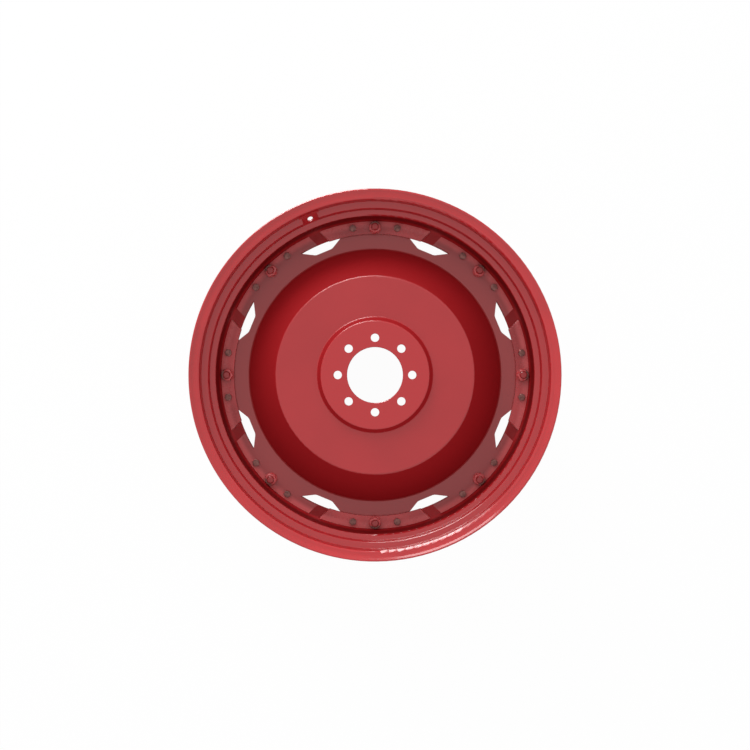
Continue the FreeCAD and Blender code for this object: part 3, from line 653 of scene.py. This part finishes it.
def section(bm, points, closed=False):
    """Edges through (radius, height) points in the XZ plane."""
    verts = [bm.verts.new((radius, 0.0, height)) for radius, height in points]
    ends = zip(verts, verts[1:] + verts[:1]) if closed else zip(verts, verts[1:])
    return verts, [bm.edges.new(pair) for pair in ends]


def turned(bm, points, steps, closed=False):
    """Section spun once round the Z axis; returns the new vertices."""
    before = set(bm.verts)
    verts, edges = section(bm, points, closed)
    bmesh.ops.spin(
        bm, geom=verts + edges, cent=CENTRE, axis=AXIS, angle=math.tau, steps=steps, use_merge=True)
    made = [v for v in bm.verts if v not in before]
    bmesh.ops.remove_doubles(bm, verts=made, dist=MERGE / 10.0)
    return [v for v in bm.verts if v not in before]


def hexed(verts, flats, low, high):
    """Push the outer rings of a turned blank out to a hexagon with chamfered corners."""
    face = flats / 2.0 * END_FACE
    for vert in verts:
        if vert.co.xy.length < face * PAST_END_FACE:
            continue
        angle = math.atan2(vert.co.x, vert.co.y)
        off = (angle % HEX) - HEX / 2.0
        radius = flats / 2.0 / math.cos(off)
        vert.co.x = radius * math.sin(angle)
        vert.co.y = radius * math.cos(angle)
        drop = (radius - face) * math.tan(HEX_CHAMFER)
        vert.co.z = high - drop if vert.co.z > (low + high) / 2.0 else low + drop


def hex_nut(bm, bolt, flats, low, high):
    """Nut with chamfered corners and a countersunk hole."""
    inside = bolt / 2.0 * NUT_BORE
    sink = bolt * COUNTERSINK
    blank = flats * BLANK
    face = flats / 2.0 * END_FACE
    made = turned(bm, (
        (inside, low + sink), (inside, high - sink), (inside + sink, high), (face, high),
        (blank, high), (blank, low), (face, low), (inside + sink, low),
    ), ROUND, closed=True)
    hexed(made, flats, low, high)
    return made


def hex_head(bm, flats, low, high, up):
    """Bolt head: chamfered outer side, flat washer face below."""
    face = flats / 2.0 * END_FACE
    blank = flats * BLANK
    made = turned(bm, (
        (0.0, high), (face, high), (blank, high), (blank, low), (face, low), (0.0, low),
    ), ROUND)
    hexed(made, flats, low, high)
    inner = low if up else high
    for vert in made:
        if abs(vert.co.z - inner) < flats * HEAD_SLACK and vert.co.xy.length > face * PAST_END_FACE:
            vert.co.z = inner


def washer(bm, inside, outside, low, high):
    """Flat washer with broken edges."""
    edge = (high - low) * WASHER_EDGE
    return turned(bm, (
        (inside, low), (inside, high), (outside - edge, high), (outside, high - edge),
        (outside, low + edge), (outside - edge, low),
    ), ROUND, closed=True)


def threaded_end(bm, bolt, pitch, low, high, up):
    """Bolt end with a cut thread, chamfered at its tip."""
    crest = bolt / 2.0
    root = crest - pitch * THREAD_DEPTH
    turns = int((high - low) / pitch) + 3
    before = set(bm.verts)
    start = low - THREAD_LEAD * pitch
    verts, edges = section(bm, (
        (root, start), (root, start + pitch * THREAD_FOOT), (crest, start + pitch * THREAD_RISE),
        (crest, start + pitch * THREAD_TOP), (root, start + pitch),
    ))
    bmesh.ops.spin(
        bm, geom=verts + edges, cent=CENTRE, axis=AXIS, dvec=AXIS * (pitch / THREAD_ROUND),
        angle=math.tau * turns, steps=THREAD_ROUND * turns)
    made = [v for v in bm.verts if v not in before]
    bmesh.ops.remove_doubles(bm, verts=made, dist=MERGE)
    chamfer = pitch * TIP_CHAMFER
    tip = high if up else low
    bevel_start = tip - chamfer if up else tip + chamfer
    for level, outward in ((low, -1.0), (high, 1.0), (bevel_start, 0.0)):
        fresh = [v for v in bm.verts if v not in before]
        geom = fresh + [e for e in bm.edges if e.verts[0] not in before]
        geom += [f for f in bm.faces if f.verts[0] not in before]
        bmesh.ops.bisect_plane(
            bm, geom=geom, dist=MERGE / 10.0, plane_co=(0.0, 0.0, level),
            plane_no=AXIS * (outward or 1.0), clear_outer=bool(outward))
    made = [v for v in bm.verts if v not in before]
    for vert in made:
        limit = crest - max(0.0, chamfer - abs(tip - vert.co.z))
        if vert.co.xy.length > limit:
            vert.co.xy = vert.co.xy.normalized() * limit
    rims = [e for e in bm.edges if e.is_boundary and e.verts[0] not in before]
    bmesh.ops.holes_fill(bm, edges=rims, sides=0)


def moved_to(bm, verts, radius, spread=0.0):
    """Carry a fastener from the axis to its bolt hole at the top."""
    bmesh.ops.translate(bm, verts=verts, vec=(0.0, radius, 0.0))
    bmesh.ops.rotate(bm, verts=verts, cent=CENTRE, matrix=Matrix.Rotation(-spread, 3, "Z"))


def round_wheel(bm, count, turn=0.0):
    """Repeat all that is modelled at equal steps round the wheel."""
    bmesh.ops.rotate(bm, verts=bm.verts, cent=CENTRE, matrix=Matrix.Rotation(-turn, 3, "Z"))
    bmesh.ops.spin(
        bm, geom=bm.verts[:] + bm.edges[:] + bm.faces[:], cent=CENTRE, axis=AXIS,
        angle=math.tau * (count - 1) / count, steps=count - 1, use_duplicate=True)


def added(kit, part):
    """Add a finished bmesh to a kit of like pieces."""
    holder = bpy.data.meshes.new("holder")
    part.to_mesh(holder)
    part.free()
    kit.from_mesh(holder)
    bpy.data.meshes.remove(holder)


def bolt_circle():
    """Radius of the circle that the large bolts stand on."""
    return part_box("centre_washers")[1].y - bpy.context.scene.wheel_fasteners.large_washer / 2.0


def small_circle():
    """Radius of the circle that the small bolts stand on."""
    f = bpy.context.scene.wheel_fasteners
    return (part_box("side_washers")[1].y - f.small_washer / 2.0) / math.cos(f.small_spread)


def large_bolts(name, node_name, seat, turn):
    """Four large bolts with their heads behind, through seats at one level."""
    f = bpy.context.scene.wheel_fasteners
    bm = bmesh.new()
    hex_head(bm, f.large_flats, LUG_BACK - f.large_head, LUG_BACK, False)
    nut_top = seat + f.large_washer_thick + f.large_nut
    low = LUG_BACK - HEAD_OVERLAP
    high = nut_top - LARGE_NUT_OVERLAP
    shank = f.large_bolt / 2.0
    turned(bm, ((0.0, low), (shank, low), (shank, high), (0.0, high)), SHANK_ROUND)
    threaded_end(bm, f.large_bolt, f.large_pitch, high, nut_top + f.large_end, True)
    moved_to(bm, bm.verts[:], bolt_circle())
    round_wheel(bm, PLATES, turn)
    new_piece(name, bm, "Bolt paint", "bolt_paint", node_name)


def small_bolts(name, node_name, seat, turn):
    """Eight small bolts with their heads in front, on seats at one level."""
    f = bpy.context.scene.wheel_fasteners
    bm = bmesh.new()
    nut_low = LUG_BACK - f.small_washer_thick - f.small_nut
    high = seat + HEAD_OVERLAP
    low = nut_low + SMALL_NUT_OVERLAP
    shank = f.small_bolt / 2.0
    for spread in (-f.small_spread, f.small_spread):
        before = set(bm.verts)
        hex_head(bm, f.small_flats, seat, seat + f.small_head, True)
        turned(bm, ((0.0, high), (shank, high), (shank, low), (0.0, low)), SHANK_ROUND)
        threaded_end(bm, f.small_bolt, f.small_pitch, nut_low - f.small_end, low, False)
        moved_to(bm, [v for v in bm.verts if v not in before], small_circle(), spread)
    round_wheel(bm, PLATES, turn)
    new_piece(name, bm, "Dull zinc", "fastener_steel", node_name)


def bead_profile(leg):
    """Corner and swollen face of a weld bead, as offsets along the two walls that it joins."""
    turns = [math.radians(90.0 / BEAD_FACETS * i) for i in range(BEAD_FACETS + 1)]
    return [(0.0, 0.0)] + [(leg * math.cos(turn), leg * math.sin(turn)) for turn in turns]


def rippled(verts, corner_of, along, length, welds):
    """Ripples along a bead, which thins out at both ends."""
    for vert in verts:
        corner = corner_of(vert.co)
        place = along(vert.co)
        wave = 0.5 + 0.5 * math.cos(math.tau * place / welds.ripple)
        end = min(1.0, max(0.0, (length / 2.0 - abs(place)) / welds.leg))
        size = (1.0 - welds.ripple_depth * wave) * (BEAD_END + (1.0 - BEAD_END) * math.sqrt(end))
        vert.co = corner + (vert.co - corner) * size


def closed_sweep(bm, before, verts, edges, steps, angle, dvec):
    """Section swept by turning and shifting, with both ends filled; returns the new vertices."""
    bmesh.ops.spin(
        bm, geom=verts + edges, cent=CENTRE, axis=AXIS, dvec=dvec, angle=angle, steps=steps)
    ends = [e for e in bm.edges if e.is_boundary and e.verts[0] not in before]
    bmesh.ops.holes_fill(bm, edges=ends, sides=0)
    return [v for v in bm.verts if v not in before]


def well_bead(bm, welds, first, last):
    """Bead between a lug's back and the well, between two angles clockwise from the top."""
    before = set(bm.verts)
    profile = [(WELL - u, LUG_BACK - v) for u, v in bead_profile(welds.leg)]
    verts, edges = section(bm, profile, closed=True)
    bmesh.ops.rotate(
        bm, verts=verts, cent=CENTRE, matrix=Matrix.Rotation(math.radians(90.0) - first, 3, "Z"))
    length = abs(last - first) * WELL
    steps = int(length / welds.ripple * RIPPLE_FACETS)
    made = closed_sweep(bm, before, verts, edges, steps, first - last, CENTRE)
    middle = (first + last) / 2.0

    def corner(place):
        flat = place.xy.normalized() * WELL
        return Vector((flat.x, flat.y, LUG_BACK))

    rippled(made, corner, lambda place: (math.atan2(place.x, place.y) - middle) * WELL, length, welds)


def rib_bead(bm, welds, wall, away):
    """Bead between one side of a rib and the well."""
    before = set(bm.verts)
    top = LUG_BACK - welds.leg / 2.0
    length = top - LUG_LOW.z - welds.leg / 2.0
    verts = []
    for u, v in bead_profile(welds.leg):
        across = wall + away * u
        verts.append(bm.verts.new((across, math.sqrt(WELL ** 2 - across ** 2) - v, top)))
    edges = [bm.edges.new(pair) for pair in zip(verts, verts[1:] + verts[:1])]
    steps = int(length / welds.ripple * RIPPLE_FACETS)
    made = closed_sweep(bm, before, verts, edges, steps, 0.0, AXIS * (-length / steps))
    foot = math.sqrt(WELL ** 2 - wall ** 2)
    rippled(
        made, lambda place: Vector((wall, foot, place.z)),
        lambda place: place.z - top + length / 2.0, length, welds)


class WHEEL_OT_rim(bpy.types.Operator):
    """Paint the rolled rim"""

    bl_idname = "wheel.rim"
    bl_label = "Paint Rim"

    def execute(self, context):
        finish_nodes("Rim paint", "rim")
        return {"FINISHED"}


class WHEEL_OT_disc(bpy.types.Operator):
    """Paint the pressed disc"""

    bl_idname = "wheel.disc"
    bl_label = "Paint Disc"

    def execute(self, context):
        finish_nodes("Disc paint", "disc")
        return {"FINISHED"}


class WHEEL_OT_plates(bpy.types.Operator):
    """Paint the four clamp plates"""

    bl_idname = "wheel.plates"
    bl_label = "Paint Clamp Plates"

    def execute(self, context):
        finish_nodes("Lug paint", *("lug_plate_" + side for side in ("top", "right", "bottom", "left")))
        return {"FINISHED"}


class WHEEL_OT_lugs(bpy.types.Operator):
    """Paint the eight lugs behind the disc"""

    bl_idname = "wheel.lugs"
    bl_label = "Paint Rim Lugs"

    def execute(self, context):
        finish_nodes("Lug paint", *("rim_lug_%d" % (i + 1) for i in range(LUGS)))
        return {"FINISHED"}


class WHEEL_OT_welds(bpy.types.Operator):
    """Model the weld beads that hold the lugs in the well"""

    bl_idname = "wheel.welds"
    bl_label = "Model Weld Beads"

    def execute(self, context):
        welds = context.scene.wheel_welds
        inner = welds.rib_spread - welds.rib_thick / 2.0
        outer = welds.rib_spread + welds.rib_thick / 2.0
        bm = bmesh.new()
        for side in (-1.0, 1.0):
            first = math.asin((outer + welds.leg) / WELL)
            last = math.asin(LUG_HIGH.x / WELL)
            well_bead(bm, welds, side * first, side * last)
            rib_bead(bm, welds, side * inner, -side)
            rib_bead(bm, welds, side * outer, side)
        round_wheel(bm, LUGS)
        new_piece("lug_welds", bm, "Lug paint", "lug_paint")
        return {"FINISHED"}


class WHEEL_OT_large_fasteners(bpy.types.Operator):
    """Model the large bolts, nuts and washers"""

    bl_idname = "wheel.large_fasteners"
    bl_label = "Model Large Fasteners"

    def execute(self, context):
        f = context.scene.wheel_fasteners
        large_bolts("plate_bolts_large", "plate_centre_bolts", PLATE_FRONT, 0.0)
        large_bolts("tab_bolts_large", "tab_centre_bolts", RING_FRONT, LUG_STEP)
        nuts = bmesh.new()
        washers = bmesh.new()
        for seat, turn in ((PLATE_FRONT, 0.0), (RING_FRONT, LUG_STEP)):
            nut_low = seat + f.large_washer_thick
            nut = bmesh.new()
            hex_nut(nut, f.large_bolt, f.large_flats, nut_low, nut_low + f.large_nut)
            flat = bmesh.new()
            washer(flat, f.large_bolt / 2.0 + LARGE_PLAY, f.large_washer / 2.0, seat, nut_low)
            for kit, part in ((nuts, nut), (washers, flat)):
                moved_to(part, part.verts[:], bolt_circle())
                round_wheel(part, PLATES, turn)
                added(kit, part)
        new_piece("nuts_large", nuts, "Worn paint", "fastener_steel", "centre_nuts")
        new_piece("washers_large", washers, "Worn paint", "fastener_steel", "centre_washers")
        return {"FINISHED"}


class WHEEL_OT_small_fasteners(bpy.types.Operator):
    """Model the small bolts, nuts and washers"""

    bl_idname = "wheel.small_fasteners"
    bl_label = "Model Small Fasteners"

    def execute(self, context):
        f = context.scene.wheel_fasteners
        small_bolts("plate_bolts_small", "plate_side_bolts", PLATE_FRONT, 0.0)
        small_bolts("tab_bolts_small", "tab_side_bolts", RING_FRONT, LUG_STEP)
        nut_top = LUG_BACK - f.small_washer_thick
        inside = f.small_bolt / 2.0 + SMALL_PLAY
        nuts = bmesh.new()
        washers = bmesh.new()
        for spread in (-f.small_spread, f.small_spread):
            made = hex_nut(nuts, f.small_bolt, f.small_flats, nut_top - f.small_nut, nut_top)
            moved_to(nuts, made, small_circle(), spread)
            made = washer(washers, inside, f.small_washer / 2.0, nut_top, LUG_BACK)
            moved_to(washers, made, small_circle(), spread)
        round_wheel(nuts, LUGS)
        round_wheel(washers, LUGS)
        new_piece("nuts_small", nuts, "Dull zinc", "fastener_steel", "side_nuts")
        new_piece("washers_small", washers, "Dull zinc", "fastener_steel", "side_washers")
        return {"FINISHED"}


class WHEEL_OT_stage(bpy.types.Operator):
    """Set up the white floor, the light and the camera"""

    bl_idname = "wheel.stage"
    bl_label = "Set Up Studio"

    def execute(self, context):
        scene = context.scene
        s = scene.wheel_stage
        scene.view_settings.view_transform = "Standard"
        self.floor(s)
        self.dome(scene, s)
        self.lamp("Key lamp", s, s.key_size, s.key_power, s.key_turn, s.key_rise)
        fill = self.lamp("Fill lamp", s, s.key_size, s.fill_power, s.key_turn, s.fill_rise)
        fill.visible_glossy = False
        glint = self.lamp("Edge lamp", s, s.glint_size, s.glint_power, s.glint_turn, s.glint_rise)
        glint.visible_diffuse = False
        lens = bpy.data.cameras.new("Front camera")
        lens.sensor_width = SENSOR
        lens.lens = s.lens
        lens.clip_end = FAR_CLIP
        camera = placed("Front camera", lens)
        camera.location = (0.0, 0.0, RIM_HIGH.z + s.camera_distance)
        scene.camera = camera
        return {"FINISHED"}

    def lamp(self, name, s, size, power, turn, rise):
        """Square lamp at the wheel's upper left, turned to the hub."""
        light = bpy.data.lights.new(name, "AREA")
        light.shape = "SQUARE"
        light.size = size
        light.energy = power
        lamp = placed(name, light)
        lamp.location = s.key_distance * Vector((
            -math.sin(turn) * math.cos(rise), math.cos(turn) * math.cos(rise), math.sin(rise)))
        lamp.rotation_euler = (-lamp.location).to_track_quat("-Z", "Y").to_euler()
        return lamp

    def mirrored(self, tree, path):
        """1 for rays that see the backdrop in a reflection or through glass."""
        return maths(
            tree, "MAXIMUM", -2, 0, path.outputs["Is Glossy Ray"], path.outputs["Is Transmission Ray"])

    def floor(self, s):
        """White floor under the rear flange, which keeps the wheel's shadow and stays dim beneath it in
        reflections; beneath the wheel it glows white to diffuse rays, a hidden glow that lights the wheel's
        back and the inside of the rim.
        """
        bm = bmesh.new()
        bmesh.ops.create_grid(bm, x_segments=1, y_segments=1, size=s.floor_half)
        bmesh.ops.translate(bm, verts=bm.verts, vec=(0.0, 0.0, RIM_LOW.z))
        mesh = bpy.data.meshes.new("floor")
        bm.to_mesh(mesh)
        bm.free()
        material = bpy.data.materials.new("White floor")
        tree = emptied_tree(material)
        matt = node(tree, "ShaderNodeBsdfDiffuse", 0, 1, Color=FLOOR_WHITE)
        white = node(tree, "ShaderNodeEmission", 0, 2, Color=FULL_WHITE, Strength=1.0)
        blend = node(tree, "ShaderNodeMixShader", 1, 0)
        path = node(tree, "ShaderNodeLightPath", -3, 0)
        place = node(tree, "ShaderNodeTexCoord", -4, 1)
        reach = node(tree, "ShaderNodeVectorMath", -3, 1)
        reach.operation = "LENGTH"
        flat = node(tree, "ShaderNodeVectorMath", -4, 2)
        flat.operation = "MULTIPLY"
        flat.inputs[1].default_value = (1.0, 1.0, 0.0)
        tree.links.new(place.outputs["Object"], flat.inputs[0])
        tree.links.new(flat.outputs["Vector"], reach.inputs[0])
        beyond = stepped(tree, reach.outputs["Value"], s.footprint, s.footprint * FOOTPRINT_FADE, -2, 1)
        far = maths(tree, "MULTIPLY", -1, 1, beyond, self.mirrored(tree, path))
        under = maths(tree, "SUBTRACT", -1, 2, 1.0, beyond)
        # Hidden glow: beneath the wheel the floor shows plain white to diffuse rays, lighting the wheel's
        # back
        glow_beneath = maths(tree, "MULTIPLY", 0, 2, under, path.outputs["Is Diffuse Ray"])
        open_rays = maths(tree, "MAXIMUM", -1, 0, path.outputs["Is Camera Ray"], far)
        seen = maths(tree, "MAXIMUM", 0, 1, open_rays, glow_beneath)
        tree.links.new(maths(tree, "MULTIPLY", 0, 0, seen, s.glow), blend.inputs[0])
        tree.links.new(matt.outputs[0], blend.inputs[1])
        tree.links.new(white.outputs[0], blend.inputs[2])
        output = node(tree, "ShaderNodeOutputMaterial", 2, 0)
        tree.links.new(blend.outputs[0], output.inputs["Surface"])
        mesh.materials.append(material)
        floor = placed("floor", mesh)

    def dome(self, scene, s):
        """White world that is full white to the camera and in reflections, and lights at its own level."""
        world = bpy.data.worlds.new("White dome")
        scene.world = world
        tree = emptied_tree(world)
        back = node(tree, "ShaderNodeBackground", 2, 0, Color=FULL_WHITE)
        path = node(tree, "ShaderNodeLightPath", -3, 0)
        seen = maths(tree, "MAXIMUM", -1, 0, path.outputs["Is Camera Ray"], self.mirrored(tree, path))
        tree.links.new(ranged(tree, seen, s.dome, 1.0, 1, 0), back.inputs["Strength"])
        output = node(tree, "ShaderNodeOutputWorld", 3, 0)
        tree.links.new(back.outputs[0], output.inputs["Surface"])


class WHEEL_PT_panel(bpy.types.Panel):
    """Steps that finish the wheel"""

    bl_idname = "WHEEL_PT_panel"
    bl_label = "Bolted Wheel"
    bl_space_type = "VIEW_3D"
    bl_region_type = "UI"
    bl_category = "Wheel"

    def draw(self, context):
        for step in STEPS:
            self.layout.operator(step.bl_idname)
        for settings in SETTINGS:
            box = self.layout.box()
            group = getattr(context.scene, settings)
            for name in group.bl_rna.properties.keys():
                if name not in {"rna_type", "name"}:
                    box.prop(group, name)


SETTINGS = {
    "wheel_paint": WheelPaintSettings,
    "wheel_fasteners": WheelFastenerSettings,
    "wheel_welds": WheelWeldSettings,
    "wheel_stage": WheelStageSettings,
}
STEPS = (
    WHEEL_OT_rim,
    WHEEL_OT_disc,
    WHEEL_OT_plates,
    WHEEL_OT_lugs,
    WHEEL_OT_welds,
    WHEEL_OT_large_fasteners,
    WHEEL_OT_small_fasteners,
    WHEEL_OT_stage,
)


def register():
    for settings in SETTINGS.values():
        bpy.utils.register_class(settings)
    for step in STEPS:
        bpy.utils.register_class(step)
    bpy.utils.register_class(WHEEL_PT_panel)
    for name, settings in SETTINGS.items():
        setattr(bpy.types.Scene, name, PointerProperty(type=settings))


def unregister():
    for name in SETTINGS:
        delattr(bpy.types.Scene, name)
    bpy.utils.unregister_class(WHEEL_PT_panel)
    for step in reversed(STEPS):
        bpy.utils.unregister_class(step)
    for settings in reversed(list(SETTINGS.values())):
        bpy.utils.unregister_class(settings)


def main():
    register()
    bpy.ops.wheel.rim()
    bpy.ops.wheel.disc()
    bpy.ops.wheel.plates()
    bpy.ops.wheel.lugs()
    bpy.ops.wheel.welds()
    bpy.ops.wheel.large_fasteners()
    bpy.ops.wheel.small_fasteners()
    bpy.ops.wheel.stage()


if __name__ == "__main__":
    main()
